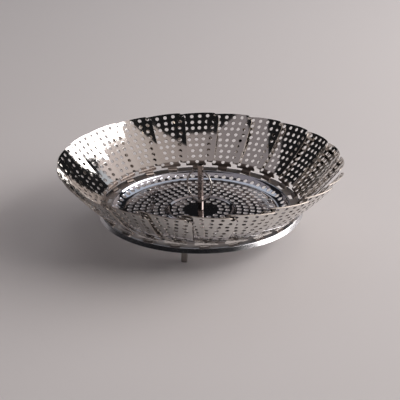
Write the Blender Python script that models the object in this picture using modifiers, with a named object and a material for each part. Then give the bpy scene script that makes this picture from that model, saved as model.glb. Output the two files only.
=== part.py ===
"""Folding steamer basket in polished stainless sheet.

A pressed, perforated tray stands on three folding legs. Twenty-two overlapping petals
hook into slots in the tray's brim and open or close together like a flower. A post in
the middle carries a loose finger ring. Units are metres, +Z is up, the origin is on the
post's axis at the surface that the feet stand on. Azimuths run clockwise from +Y.
"""
import bpy
import bmesh
from math import atan2, cos, hypot, pi, radians, sin, sqrt, tan
from mathutils import Matrix, Vector

# Clearances
SEAT_GAP = 0.0003          # between pieces that rest on each other
PIN_CLEARANCE = 0.0002     # radial, round a pin, a rivet or the post's tail
CUT_OVERRUN = 0.0010       # how far a cutter runs past what it cuts

# Tray
STAND_HEIGHT = 0.0160      # from the surface it stands on to the tray's floor
TRAY_SHEET = 0.0006
FLOOR_RADIUS = 0.0531
STEP_HEIGHT = 0.0013
STEP_RUN = 0.0009
SHOULDER_WIDTH = 0.0066    # from the step to the crest
CREST_HEIGHT = 0.0042
CREST_LAND = 0.0014        # from the crest to the slots
BRIM_HEIGHT = 0.0041
SLOT_WIDTH = 0.0076
SLOT_LENGTH = 0.00385      # along a radius
STRIP_WIDTH = 0.00275      # from the slots to the brim's corner
SKIRT_FLARE = 0.0014
SKIRT_BOTTOM = 0.0014      # above the floor
MIRROR_RADIUS = 0.0116     # plain disc round the post
INNER_RING_WIDTH = 0.0058  # the ring of holes inside the bead
BEAD_LAND = 0.0043         # from those holes to the bead
BEAD_HALF_WIDTH = 0.0013
BEAD_HEIGHT = 0.0009
FLOOR_HOLE_RINGS = 3
HOLE_RADIUS = 0.0025       # to the corners of a four-sided hole

# Petals
PETALS = 22
PETAL_PHASE = radians(-2.1)
PETAL_SHEET = 0.0005
HINGE_OFFSET = 0.0003      # outwards from the slots' outer edge
HINGE_TILT = radians(-5.7)  # the hinge line dips towards the petal's clockwise side
HOOK_RADIUS = 0.0013       # middle of the sheet
HOOK_END = radians(230)    # on the hook's circle, from outwards by way of the top
HOOK_STEPS = 3
HOOK_WIDTH = 0.0068
NECK_SETBACK = 0.0011      # outwards from the hinge, where the hook widens into the tab
NECK_RISE = 0.0020         # above the hinge
TAB_WIDTH = 0.0130
ROOT_SETBACK = 0.0010      # outwards from the hinge, where the tab widens into the blade
ROOT_RISE = 0.0035         # above the brim
SHOULDER_LENGTH = 0.0020   # the tab widens to the blade along this
BLADE_FOOT_WIDTH = 0.0250
BLADE_TOP_WIDTH = 0.0370
BLADE_REACH = 0.02865      # outwards from the root
BLADE_RISE = 0.0299
BLADE_BELLY = 0.0012       # how far the blade bulges outwards
BLADE_CURL = 0.0010        # how far the sides turn in at the rim, past the basket's own curve
TOP_CORNER = 0.0050
TOP_CORNER_DROP = 0.0015
LAP_AT_ROOT = 0.0014       # from one petal's middle surface to the next
LAP_AT_RIM = 0.0022
BLADE_COLUMNS = 3
BLADE_HOLE_ROWS = 4
BLADE_HOLE_RADIUS = 0.0036

# Post, ring and their fastening
POST_RADIUS = 0.0020
POST_TOP = 0.0330          # above the tray's floor
POST_CHAMFER = 0.0003
POST_TAIL_RADIUS = 0.0014
POST_TAIL_END = 0.0008     # past the nut
RING_HOLE_DROP = 0.0040    # below the post's top
RING_HOLE_RADIUS = 0.00095
RING_AZIMUTH = radians(130)  # of the hole's near end
RING_RADIUS = 0.01065      # to the middle of the wire
RING_WIRE_RADIUS = 0.00055
WASHER_RADIUS = 0.0045
WASHER_THICKNESS = 0.0008
NUT_ACROSS_FLATS = 0.0055
NUT_THICKNESS = 0.0024

# Legs
LEGS = 3
LEG_PHASE = radians(73)
LEG_INSET = 0.0073         # from the floor's edge in to the pivot
LEG_PIVOT_DROP = 0.0026    # from the bracket's plate to the pivot
LEG_SHEET = 0.0006
LEG_WIDTH = 0.0038
LEG_SPLAY = radians(10)
LEG_WEB_OFFSET = 0.0018    # outwards from the pivot
LEG_FLANGE_TOP = 0.0015    # above the pivot
LEG_FLANGE_HEEL = 0.0015   # inwards from the pivot
LEG_FLANGE_FOOT_DEPTH = 0.0019
LEG_FLANGE_LIFT = 0.0014   # the flanges stop above the foot
FOOT_LENGTH = 0.0030
BRACKET_SHEET = 0.0006
BRACKET_EAR_DROP = 0.0015  # below the pivot
BRACKET_EAR_REACH = 0.0020  # either side of the pivot
BRACKET_END = 0.0020       # outwards from the rivet
PIN_RADIUS = 0.0006
PIN_HEAD_RADIUS = 0.0010
PIN_HEAD_THICKNESS = 0.0004
RIVET_OFFSET = 0.0052      # outwards from the pivot
RIVET_RADIUS = 0.0009
RIVET_HEAD_RADIUS = 0.0018
RIVET_HEAD_HEIGHT = 0.0007

# Facets
MERGE_DISTANCE = 0.00001
ROUND_SIDES = 16
SMALL_SIDES = 8
RING_STEPS = 24
WIRE_SIDES = 6

TURN = 2 * pi
PITCH = TURN / PETALS
CREST_RADIUS = FLOOR_RADIUS + STEP_RUN + SHOULDER_WIDTH
SLOT_INNER_RADIUS = CREST_RADIUS + CREST_LAND
SLOT_OUTER_RADIUS = SLOT_INNER_RADIUS + SLOT_LENGTH
BRIM_CORNER_RADIUS = SLOT_OUTER_RADIUS + STRIP_WIDTH
SKIRT_RADIUS = BRIM_CORNER_RADIUS + SKIRT_FLARE
INNER_RING_OUTER = MIRROR_RADIUS + INNER_RING_WIDTH
BEAD_RADIUS = INNER_RING_OUTER + BEAD_LAND + BEAD_HALF_WIDTH
HINGE_RADIUS = SLOT_OUTER_RADIUS + HINGE_OFFSET
ROOT_RADIUS = HINGE_RADIUS + ROOT_SETBACK
ROOT_HEIGHT = BRIM_HEIGHT + ROOT_RISE
RIM_RADIUS = ROOT_RADIUS + BLADE_REACH
RIM_HEIGHT = ROOT_HEIGHT + BLADE_RISE
LEG_PIVOT_RADIUS = FLOOR_RADIUS - LEG_INSET
RIVET_CENTRE_RADIUS = LEG_PIVOT_RADIUS + RIVET_OFFSET
BRACKET_OUTER_RADIUS = RIVET_CENTRE_RADIUS + BRACKET_END
TRAY_UNDERSIDE = STAND_HEIGHT - TRAY_SHEET
HINGE_HEIGHT = STAND_HEIGHT + BRIM_HEIGHT - TRAY_SHEET / 2
RING_HOLE_HEIGHT = STAND_HEIGHT + POST_TOP - RING_HOLE_DROP
BRACKET_TOP = TRAY_UNDERSIDE - SEAT_GAP
LEG_PIVOT_HEIGHT = BRACKET_TOP - BRACKET_SHEET - LEG_PIVOT_DROP
BRACKET_HALF_WIDTH = LEG_WIDTH / 2 + SEAT_GAP + BRACKET_SHEET


def clear_scene():
    for old in list(bpy.data.objects):
        bpy.data.objects.remove(old)


def new_collection(name):
    collection = bpy.data.collections.new(name)
    bpy.context.scene.collection.children.link(collection)
    return collection


def steel(name, colour, roughness):
    material = bpy.data.materials.new(name)
    material.use_nodes = True
    shader = material.node_tree.nodes["Principled BSDF"]
    shader.inputs["Base Color"].default_value = (*colour, 1.0)
    shader.inputs["Metallic"].default_value = 1.0
    shader.inputs["Roughness"].default_value = roughness
    return material


def turned_about_z(azimuth):
    """Rotation that carries +Y to the given azimuth, clockwise seen from above."""
    return Matrix.Rotation(-azimuth, 4, "Z")


def place(obj, collection, material, azimuth=0.0, radius=0.0, height=0.0):
    """Put an object at a polar place with its local +Y pointing outwards."""
    for old in list(obj.users_collection):
        old.objects.unlink(obj)
    collection.objects.link(obj)
    if material is not None:
        obj.data.materials.clear()
        obj.data.materials.append(material)
    spin = turned_about_z(azimuth)
    obj.matrix_world = spin @ Matrix.Translation((0, radius, height))
    return obj


def mesh_from(bm, name):
    bmesh.ops.recalc_face_normals(bm, faces=bm.faces)
    mesh = bpy.data.meshes.new(name)
    bm.to_mesh(mesh)
    bm.free()
    return mesh


def add_solidify(obj, thickness, offset):
    solidify = obj.modifiers.new("sheet", "SOLIDIFY")
    solidify.thickness = thickness
    solidify.offset = offset
    solidify.use_even_offset = True
    solidify.use_quality_normals = True


def add_cut(obj, cutter):
    cut = obj.modifiers.new("cut", "BOOLEAN")
    cut.operation = "DIFFERENCE"
    cut.solver = "EXACT"
    cut.object = cutter


def turned(name, profile, sides):
    """A solid of revolution; the profile runs down its outer side, top to bottom."""
    mesh = bpy.data.meshes.new(name)
    edges = [(i, i + 1) for i in range(len(profile) - 1)]
    mesh.from_pydata([(r, 0, z) for r, z in profile], edges, [])
    obj = bpy.data.objects.new(name, mesh)
    bpy.context.scene.collection.objects.link(obj)
    screw = obj.modifiers.new("turn", "SCREW")
    screw.axis = "Z"
    screw.angle = TURN
    screw.steps = sides
    screw.render_steps = sides
    screw.use_merge_vertices = True
    screw.merge_threshold = MERGE_DISTANCE
    screw.use_smooth_shade = True
    return obj


def cylinder_cutter(name, collection, radius, length, sides):
    bpy.ops.mesh.primitive_cylinder_add(vertices=sides, radius=radius, depth=length)
    cutter = bpy.context.active_object
    cutter.name = name
    cutter.hide_render = True
    cutter.display_type = "WIRE"
    for old in list(cutter.users_collection):
        old.objects.unlink(cutter)
    collection.objects.link(cutter)
    return cutter


def blank_grid(columns, rows):
    """A flat blank with the column and row of each corner in its x and y."""
    bm = bmesh.new()
    bmesh.ops.create_grid(bm, x_segments=columns, y_segments=rows, size=1)
    for vert in bm.verts:
        vert.co.x = round((vert.co.x + 1) / 2 * columns)
        vert.co.y = round((vert.co.y + 1) / 2 * rows)
    return bm


def cell_of(face):
    """Column and row of a blank's face, from its lowest corner."""
    return (round(min(v.co.x for v in face.verts)), round(min(v.co.y for v in face.verts)))


def punch(bm, faces, radius):
    """Cut a four-sided hole in the middle of each face."""
    bmesh.ops.inset_individual(bm, faces=faces, thickness=radius / 2)
    for face in faces:
        centre = face.calc_center_median()
        for vert in face.verts:
            vert.co = centre + (vert.co - centre).normalized() * radius
    bmesh.ops.delete(bm, geom=faces, context="FACES_ONLY")


# Petals: a punched blank bent to its profile

def blade_frame():
    """Foot, unit direction and length of the blade's chord in the radial plane."""
    foot = Vector((ROOT_RADIUS, ROOT_HEIGHT))
    chord = Vector((RIM_RADIUS, RIM_HEIGHT)) - foot
    return foot, chord.normalized(), chord.length


def blade_half_width(along):
    _, _, length = blade_frame()
    share = max(0.0, (along - SHOULDER_LENGTH) / (length - SHOULDER_LENGTH))
    return (BLADE_FOOT_WIDTH + (BLADE_TOP_WIDTH - BLADE_FOOT_WIDTH) * share) / 2


def blade_point(lateral, along):
    """A point of the blade's middle surface, from the hinge, wrapped round the basket.

    The clockwise side lies inside the next petal and the other side outside it.
    """
    foot, direction, length = blade_frame()
    share = along / length
    inward = Vector((-direction.y, direction.x))
    spot = foot + direction * along
    angle = lateral / spot.x
    lap = LAP_AT_ROOT + (LAP_AT_RIM - LAP_AT_ROOT) * share
    offset = lap * angle / PITCH - BLADE_BELLY * 4 * share * (1 - share)
    offset += BLADE_CURL * share * (2 * lateral / BLADE_TOP_WIDTH) ** 2
    spot = spot + inward * offset
    height = spot.y + STAND_HEIGHT - HINGE_HEIGHT
    return Vector((spot.x * sin(angle), spot.x * cos(angle) - HINGE_RADIUS, height))


def hook_start():
    """Angle on the hook's circle where the sheet leaves it for the neck."""
    reach = hypot(NECK_SETBACK, NECK_RISE)
    lean = atan2(NECK_RISE, NECK_SETBACK)
    return lean + atan2(sqrt(reach ** 2 - HOOK_RADIUS ** 2), HOOK_RADIUS)


def hook_point(lateral, share):
    """A point of the hook, which follows the tilted hinge line, from the neck to its end."""
    start = hook_start()
    angle = start + (HOOK_END - start) * share
    y = HOOK_RADIUS * cos(angle)
    z = HOOK_RADIUS * sin(angle)
    return Vector((lateral, y, z + lateral * tan(HINGE_TILT)))


def petal_mesh():
    _, _, length = blade_frame()
    hole_start = SHOULDER_LENGTH
    hole_pitch = (length - TOP_CORNER - hole_start) / BLADE_HOLE_ROWS
    stations = [hole_start + hole_pitch * row for row in range(BLADE_HOLE_ROWS + 1)]
    neck_row = HOOK_STEPS + 1
    first_blade_row = neck_row + 1
    top_row = first_blade_row + len(stations) + 1
    bm = blank_grid(BLADE_COLUMNS, top_row)
    middle = BLADE_COLUMNS // 2
    spare = [f for f in bm.faces if cell_of(f)[1] < neck_row and cell_of(f)[0] != middle]
    bmesh.ops.delete(bm, geom=spare, context="FACES")

    def flat_place(column, row):
        """Lateral place and distance along the blank for a corner of the blade."""
        side = 2 * column / BLADE_COLUMNS - 1
        if row <= first_blade_row:
            half = HOOK_WIDTH / 2 if abs(side) < 1 else TAB_WIDTH / 2
            return (half if side > 0 else -half), 0.0
        if row == top_row:
            if abs(side) == 1:
                half = blade_half_width(length) - TOP_CORNER_DROP
                return side * half, length - TOP_CORNER_DROP
            return side * blade_half_width(length), length
        along = stations[row - first_blade_row - 1]
        return side * blade_half_width(along), along

    cells = {}
    places = {}
    for vert in bm.verts:
        column, row = round(vert.co.x), round(vert.co.y)
        lateral, along = flat_place(column, row)
        if row < neck_row:
            places[vert] = hook_point(lateral, 1 - row / HOOK_STEPS)
        elif row == neck_row:
            places[vert] = Vector((lateral, NECK_SETBACK, NECK_RISE))
        else:
            cells[vert] = (lateral, along)
    first_hole_row = first_blade_row + 1
    holes = [f for f in bm.faces if first_hole_row <= cell_of(f)[1] < first_hole_row + BLADE_HOLE_ROWS]
    for vert, (lateral, along) in cells.items():
        vert.co = Vector((lateral, along, 0))
    punch(bm, holes, BLADE_HOLE_RADIUS)
    for vert in bm.verts:
        if vert in places:
            vert.co = places[vert]
        else:
            vert.co = blade_point(vert.co.x, vert.co.y)
    return mesh_from(bm, "petal")


def build_petals(collection, material):
    mesh = petal_mesh()
    mesh.shade_smooth()
    mesh.set_sharp_from_angle(angle=radians(30))
    for index in range(PETALS):
        obj = bpy.data.objects.new(f"petal_{index + 1:02d}", mesh)
        add_solidify(obj, PETAL_SHEET, 0)
        azimuth = PETAL_PHASE + index * PITCH
        place(obj, collection, None, azimuth, HINGE_RADIUS, HINGE_HEIGHT)
    mesh.materials.append(material)


# Tray: a punched disc pressed to its profile

def tray_rings():
    """Radius, height above the floor and slot spread of each ring of the tray's top face."""
    hole_start = BEAD_RADIUS + BEAD_HALF_WIDTH
    pitch = (FLOOR_RADIUS - hole_start) / FLOOR_HOLE_RINGS
    rings = [(POST_TAIL_RADIUS + PIN_CLEARANCE, 0, 0), (MIRROR_RADIUS, 0, 0), (INNER_RING_OUTER, 0, 0)]
    rings += [(BEAD_RADIUS - BEAD_HALF_WIDTH, 0, 0), (BEAD_RADIUS, BEAD_HEIGHT, 0)]
    rings += [(hole_start + pitch * i, 0, 0) for i in range(FLOOR_HOLE_RINGS + 1)]
    rings += [(FLOOR_RADIUS + STEP_RUN, STEP_HEIGHT, 0), (CREST_RADIUS, CREST_HEIGHT, 1)]
    rings += [(SLOT_INNER_RADIUS, BRIM_HEIGHT, 1), (SLOT_OUTER_RADIUS, BRIM_HEIGHT, 1)]
    rings += [(BRIM_CORNER_RADIUS, BRIM_HEIGHT, 1), (SKIRT_RADIUS, SKIRT_BOTTOM, 1)]
    return rings


def ring_index(radius):
    """The ring of the tray that lies at a named radius."""
    return [ring[0] for ring in tray_rings()].index(radius)


def tray_corner(column, ring):
    """Columns stand either side of each petal, closer together at the slots."""
    radius, height, spread = tray_rings()[ring]
    slot_half = SLOT_WIDTH / 2 / SLOT_OUTER_RADIUS
    half = slot_half if spread else PITCH / 4
    side = -1 if column % 2 == 0 else 1
    azimuth = PETAL_PHASE + (column // 2) * PITCH + side * half
    return Vector((radius * sin(azimuth), radius * cos(azimuth), height))


def leg_azimuths():
    return [LEG_PHASE + TURN / LEGS * index for index in range(LEGS)]


def near_rivet(point):
    """True where a hole would run into a leg's rivet."""
    keep_out = RIVET_HEAD_RADIUS + HOLE_RADIUS
    for azimuth in leg_azimuths():
        rivet = turned_about_z(azimuth) @ Vector((0, RIVET_CENTRE_RADIUS, 0))
        if (rivet - point).length < keep_out:
            return True
    return False


def merge_inner_columns(bm, last_ring):
    """Join the columns in pairs inside the bead, where they would be very narrow."""
    spare = []
    for edge in bm.edges:
        low, high = sorted(edge.verts, key=lambda vert: vert.co.y)
        if low.co.x == high.co.x and low.co.x % 2 == 1 and high.co.y <= last_ring:
            spare.append(edge)
    bmesh.ops.dissolve_edges(bm, edges=spare, use_verts=True)


def tray_mesh():
    columns = 2 * PETALS
    bm = blank_grid(columns, len(tray_rings()) - 1)
    first_floor = ring_index(BEAD_RADIUS) + 1
    merge_inner_columns(bm, first_floor)
    cells = {face: cell_of(face) for face in bm.faces}
    for vert in bm.verts:
        vert.co = tray_corner(round(vert.co.x), round(vert.co.y))
    slot_ring = ring_index(SLOT_INNER_RADIUS)
    inner_ring = ring_index(MIRROR_RADIUS)
    shoulder = ring_index(CREST_RADIUS) - 1
    slots = [f for f, (column, ring) in cells.items() if ring == slot_ring and column % 2 == 0]
    holes = []
    for face, (column, ring) in cells.items():
        on_floor = first_floor <= ring < first_floor + FLOOR_HOLE_RINGS
        staggered = (column + ring) % 2 == 0
        if ring == shoulder and column % 2 == 1 or ring == inner_ring and column % 4 == 0:
            holes.append(face)
        elif on_floor and staggered and not near_rivet(face.calc_center_median()):
            holes.append(face)
    punch(bm, holes, HOLE_RADIUS)
    bmesh.ops.delete(bm, geom=slots, context="FACES")
    bmesh.ops.remove_doubles(bm, verts=bm.verts, dist=MERGE_DISTANCE)
    return mesh_from(bm, "base_tray")


def build_tray(collection, cutters, material):
    obj = bpy.data.objects.new("base_tray", tray_mesh())
    place(obj, collection, material, height=STAND_HEIGHT)
    add_solidify(obj, TRAY_SHEET, -1)
    for index, azimuth in enumerate(leg_azimuths()):
        length = TRAY_SHEET + 2 * CUT_OVERRUN
        cutter = cylinder_cutter(f"tray_rivet_hole_{index + 1}", cutters,
                                 RIVET_RADIUS + PIN_CLEARANCE, length, SMALL_SIDES)
        middle = STAND_HEIGHT - TRAY_SHEET / 2
        cutter.matrix_world = turned_about_z(azimuth) @ Matrix.Translation(
            (0, RIVET_CENTRE_RADIUS, middle))
        add_cut(obj, cutter)


# Post, nut, washer and finger ring

def build_post(collection, cutters, material):
    top = STAND_HEIGHT + POST_TOP
    seat = STAND_HEIGHT + SEAT_GAP
    tail = nut_bottom() - POST_TAIL_END
    profile = [(0, top), (POST_RADIUS - POST_CHAMFER, top), (POST_RADIUS, top - POST_CHAMFER),
               (POST_RADIUS, seat), (POST_TAIL_RADIUS, seat),
               (POST_TAIL_RADIUS, tail + POST_CHAMFER), (POST_TAIL_RADIUS - POST_CHAMFER, tail),
               (0, tail)]
    obj = turned("post", profile, ROUND_SIDES)
    place(obj, collection, material)
    cutter = cylinder_cutter("post_ring_hole", cutters, RING_HOLE_RADIUS,
                             2 * (POST_RADIUS + CUT_OVERRUN), SMALL_SIDES)
    cutter.matrix_world = (Matrix.Translation((0, 0, RING_HOLE_HEIGHT))
                           @ turned_about_z(RING_AZIMUTH) @ Matrix.Rotation(pi / 2, 4, "X"))
    add_cut(obj, cutter)


def washer_top():
    return TRAY_UNDERSIDE - SEAT_GAP


def nut_bottom():
    return washer_top() - WASHER_THICKNESS - SEAT_GAP - NUT_THICKNESS


def build_post_fastening(collection, cutters, material):
    hole = POST_TAIL_RADIUS + PIN_CLEARANCE
    top = washer_top()
    bottom = top - WASHER_THICKNESS
    profile = [(hole, top), (WASHER_RADIUS, top), (WASHER_RADIUS, bottom), (hole, bottom), (hole, top)]
    washer = turned("post_washer", profile, ROUND_SIDES)
    place(washer, collection, material)
    bpy.ops.mesh.primitive_cylinder_add(vertices=6, radius=NUT_ACROSS_FLATS / 2 / cos(pi / 6),
                                        depth=NUT_THICKNESS)
    nut = bpy.context.active_object
    nut.name = "post_nut"
    place(nut, collection, material, height=nut_bottom() + NUT_THICKNESS / 2)
    cutter = cylinder_cutter("nut_bore", cutters, hole, NUT_THICKNESS + 2 * CUT_OVERRUN, ROUND_SIDES)
    cutter.matrix_world = Matrix.Translation((0, 0, nut_bottom() + NUT_THICKNESS / 2))
    add_cut(nut, cutter)


def ring_lean():
    """How far the hanging ring leans out, so that its lowest part rests on the post."""
    stand_off = POST_RADIUS + RING_WIRE_RADIUS + SEAT_GAP
    return atan2(stand_off, sqrt((2 * RING_RADIUS) ** 2 - stand_off ** 2))


def build_ring(collection, material):
    """The ring's origin is on the hole's axis, and the wire's top passes through it."""
    bpy.ops.mesh.primitive_torus_add(major_segments=RING_STEPS, minor_segments=WIRE_SIDES,
                                     major_radius=RING_RADIUS, minor_radius=RING_WIRE_RADIUS)
    obj = bpy.context.active_object
    obj.name = "finger_ring"
    upright = Matrix.Rotation(pi / 2, 4, "Y")
    hanging = Matrix.Translation((0, 0, -RING_RADIUS))
    obj.data.transform(hanging @ upright)
    obj.data.shade_smooth()
    place(obj, collection, material)
    lean = Matrix.Rotation(-ring_lean(), 4, "Y")
    obj.matrix_world = (Matrix.Translation((0, 0, RING_HOLE_HEIGHT))
                        @ turned_about_z(RING_AZIMUTH) @ lean)


# Legs, their brackets, pins and rivets

def leg_mesh():
    """A folded channel: two flanges, a web on the outer side, and a foot turned inwards."""
    columns = 3
    rows = 3
    half = LEG_WIDTH / 2
    web_top = LEG_PIVOT_DROP - SEAT_GAP
    floor = -LEG_PIVOT_HEIGHT
    bm = blank_grid(columns, rows)
    spare = [f for f in bm.faces if cell_of(f)[1] < rows - 1 and cell_of(f)[0] != 1]
    bmesh.ops.delete(bm, geom=spare, context="FACES")

    def web_at(z):
        return LEG_WEB_OFFSET - z * tan(LEG_SPLAY)

    def corner(column, row):
        x = half if column >= 2 else -half
        flange = column in (0, columns)
        if row == rows:
            if flange:
                return Vector((x, -LEG_FLANGE_HEEL, LEG_FLANGE_TOP))
            return Vector((x, web_at(web_top), web_top))
        if row == rows - 1:
            z = floor + LEG_FLANGE_LIFT
            return Vector((x, web_at(z) - (LEG_FLANGE_FOOT_DEPTH if flange else 0), z))
        heel = FOOT_LENGTH if row == 0 else 0
        return Vector((x, web_at(floor) - heel, floor))

    for vert in bm.verts:
        vert.co = corner(round(vert.co.x), round(vert.co.y))
    return mesh_from(bm, "leg")


def bracket_mesh():
    """A riveted plate with two ears turned down beside the leg."""
    columns = 3
    rows = 2
    plate = LEG_PIVOT_DROP + BRACKET_SHEET
    reach = [-BRACKET_EAR_REACH, BRACKET_EAR_REACH, BRACKET_OUTER_RADIUS - LEG_PIVOT_RADIUS]
    bm = blank_grid(columns, rows)
    spare = [f for f in bm.faces if cell_of(f)[1] == 1 and cell_of(f)[0] != 1]
    bmesh.ops.delete(bm, geom=spare, context="FACES")
    for vert in bm.verts:
        column, row = round(vert.co.x), round(vert.co.y)
        x = BRACKET_HALF_WIDTH if column >= 2 else -BRACKET_HALF_WIDTH
        z = plate if column in (1, 2) else -BRACKET_EAR_DROP
        vert.co = Vector((x, reach[row], z))
    return mesh_from(bm, "leg_bracket")


def turned_pin(name, half_length):
    """A headed pin along its own +Z."""
    end = half_length + PIN_HEAD_THICKNESS
    profile = [(0, end), (PIN_HEAD_RADIUS, end), (PIN_HEAD_RADIUS, half_length), (PIN_RADIUS, half_length),
               (PIN_RADIUS, -half_length), (PIN_HEAD_RADIUS, -half_length), (PIN_HEAD_RADIUS, -end),
               (0, -end)]
    return turned(name, profile, SMALL_SIDES)


def turned_rivet(name):
    """A rivet from above the tray's floor to below the bracket's plate."""
    top_seat = STAND_HEIGHT + SEAT_GAP
    low_seat = BRACKET_TOP - BRACKET_SHEET - SEAT_GAP
    profile = [(0, top_seat + RIVET_HEAD_HEIGHT), (RIVET_RADIUS, top_seat + RIVET_HEAD_HEIGHT),
               (RIVET_HEAD_RADIUS, top_seat), (RIVET_RADIUS, top_seat), (RIVET_RADIUS, low_seat),
               (RIVET_HEAD_RADIUS, low_seat), (RIVET_RADIUS, low_seat - RIVET_HEAD_HEIGHT),
               (0, low_seat - RIVET_HEAD_HEIGHT)]
    return turned(name, profile, SMALL_SIDES)


def build_legs(collection, cutters, leg_steel, bracket_steel, pin_steel):
    leg_shape = leg_mesh()
    bracket_shape = bracket_mesh()
    pin_hole = PIN_RADIUS + PIN_CLEARANCE
    for number, azimuth in enumerate(leg_azimuths(), start=1):
        spin = turned_about_z(azimuth)
        pivot = spin @ Matrix.Translation((0, LEG_PIVOT_RADIUS, LEG_PIVOT_HEIGHT))
        sideways = Matrix.Rotation(pi / 2, 4, "Y")
        pin_cutter = cylinder_cutter(f"pin_hole_{number}", cutters, pin_hole,
                                     2 * (BRACKET_HALF_WIDTH + CUT_OVERRUN), SMALL_SIDES)
        pin_cutter.matrix_world = pivot @ sideways
        rivet_cutter = cylinder_cutter(f"bracket_rivet_hole_{number}", cutters,
                                       RIVET_RADIUS + PIN_CLEARANCE,
                                       BRACKET_SHEET + 2 * CUT_OVERRUN, SMALL_SIDES)
        rivet_cutter.matrix_world = spin @ Matrix.Translation(
            (0, RIVET_CENTRE_RADIUS, BRACKET_TOP - BRACKET_SHEET / 2))

        leg = bpy.data.objects.new(f"leg_{number}", leg_shape)
        place(leg, collection, leg_steel, azimuth, LEG_PIVOT_RADIUS, LEG_PIVOT_HEIGHT)
        add_solidify(leg, LEG_SHEET, -1)
        add_cut(leg, pin_cutter)

        bracket = bpy.data.objects.new(f"leg_bracket_{number}", bracket_shape)
        place(bracket, collection, bracket_steel, azimuth, LEG_PIVOT_RADIUS, LEG_PIVOT_HEIGHT)
        add_solidify(bracket, BRACKET_SHEET, -1)
        add_cut(bracket, pin_cutter)
        add_cut(bracket, rivet_cutter)

        pin = turned_pin(f"leg_pin_{number}", BRACKET_HALF_WIDTH + SEAT_GAP)
        place(pin, collection, pin_steel)
        pin.matrix_world = pivot @ sideways

        rivet = turned_rivet(f"leg_rivet_{number}")
        place(rivet, collection, pin_steel, azimuth, RIVET_CENTRE_RADIUS)


def main():
    clear_scene()
    basket = new_collection("steamer_basket")
    cutters = new_collection("cutters")
    petal_steel = steel("petal_steel", (0.78, 0.76, 0.74), 0.10)
    tray_steel = steel("tray_steel", (0.76, 0.75, 0.74), 0.12)
    post_steel = steel("post_steel", (0.72, 0.71, 0.70), 0.15)
    wire_steel = steel("wire_steel", (0.70, 0.69, 0.68), 0.18)
    leg_steel = steel("leg_steel", (0.70, 0.70, 0.70), 0.22)
    fastener_steel = steel("fastener_steel", (0.68, 0.68, 0.68), 0.25)
    build_tray(basket, cutters, tray_steel)
    build_petals(basket, petal_steel)
    build_post(basket, cutters, post_steel)
    build_post_fastening(basket, cutters, fastener_steel)
    build_ring(basket, wire_steel)
    build_legs(basket, cutters, leg_steel, leg_steel, fastener_steel)


main()
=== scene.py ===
"""Looks of the folding steamer basket: punched and polished sheet steel in a plain studio.

Each sheet piece starts as a flat blank with all its real holes and is then pressed to its
shape, so the holes, the pressed edges and the reflections are geometry. Units are metres,
+Z is up and azimuths run clockwise from +Y, seen from above.
"""
from math import atan2, cos, hypot, pi, radians, sin, sqrt, tan

import bpy
import numpy as np
from mathutils import Matrix, Vector
from mathutils.geometry import delaunay_2d_cdt


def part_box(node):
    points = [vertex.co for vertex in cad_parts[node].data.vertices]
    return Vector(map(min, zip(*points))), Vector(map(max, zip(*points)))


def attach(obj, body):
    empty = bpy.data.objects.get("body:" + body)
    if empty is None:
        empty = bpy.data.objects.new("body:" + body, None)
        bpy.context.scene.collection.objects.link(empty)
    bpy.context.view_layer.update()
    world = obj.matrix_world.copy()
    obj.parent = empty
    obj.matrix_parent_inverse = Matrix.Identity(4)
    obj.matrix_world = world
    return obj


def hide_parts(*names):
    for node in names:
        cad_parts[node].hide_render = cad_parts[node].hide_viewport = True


TURN = 2 * pi

# Camera
CAMERA_ELEVATION = radians(24.36)
CAMERA_DISTANCE = 0.6595    # to the middle of the tray's floor
CAMERA_FOCAL_PIXELS = 958.0
IMAGE_PIXELS = 400.0
FLOOR_MIDDLE_PIXEL = (200.8, 209.3)
CAMERA_ROLL = radians(-0.33)
SENSOR_WIDTH = 36.0

# Tray
STAND_HEIGHT = 0.0160
TRAY_SHEET = 0.00045
FLOOR_RADIUS = 0.0531
CREST = (0.0606, 0.0042)
SHOULDER_DISH = 0.0010      # how far the shoulder sags
SHOULDER_SAG = (0.4, -0.9)  # in which direction, outwards and up
SHOULDER_POINTS = 9
BRIM_HEIGHT = 0.0041
BRIM_DIP = 0.0002           # how far it dips beside the crest
SLOT_INNER_RADIUS = 0.0620
SLOT_OUTER_RADIUS = 0.06585
SLOT_WIDTH = 0.0076
BRIM_CORNER_RADIUS = 0.0686
SKIRT_FOOT = (0.0700, 0.0014)
BORE_RADIUS = 0.0016
BEAD_RADIUS = 0.0230
BEAD_HALF_WIDTH = 0.0014
BEAD_HEIGHT = 0.0010
TRAY_BEND = 0.0006          # half the length over which a fold is rounded
PROFILE_STEP = 0.00005
SLOT_CORNER = 0.0006
SLOT_EDGE_STEP = 0.0020
TRAY_HOLE_RADIUS = 0.0015
RIVET_CLEARANCE = 0.0037    # from a rivet's middle to the nearest hole's
SHOULDER_HOLES = (0.0575, 62)   # their radius and number, then those of the floor's rings
FLOOR_HOLES = [(0.0140, 16), (0.0185, 21), (0.0273, 32), (0.0318, 37), (0.0363, 42),
               (0.0408, 47), (0.0453, 53), (0.0498, 58)]

# Rings of the tray's mesh, finest beside its folds
RING_SIDES = 264
BORE_SIDES = 24
BEAD_RINGS = (-1.4, -1, -0.6, -0.3, 0, 0.3, 0.6, 1, 1.4)        # in half widths of the bead
FLOOR_EDGE_RINGS = (-0.0007, -0.0003, 0.0001, 0.0004, 0.0008, 0.0012)
CREST_RINGS = (-0.0009, -0.0005, -0.0002, 0.0001, 0.0005, 0.0009)
BRIM_RINGS = (-0.0014, -0.0007, -0.0003)                        # from the brim's corner
SKIRT_RINGS = (0.1, 0.2, 0.3, 0.42, 0.7)                        # shares of its length
PLAIN_RINGS = ((0.0119, 88), (0.0065, 44))                      # radius and sides
GUIDE_RINGS = ((0.0162, 44), (0.0205, 66), (0.0555, 176), (0.0598, 176), (0.0667, 176))

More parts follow.
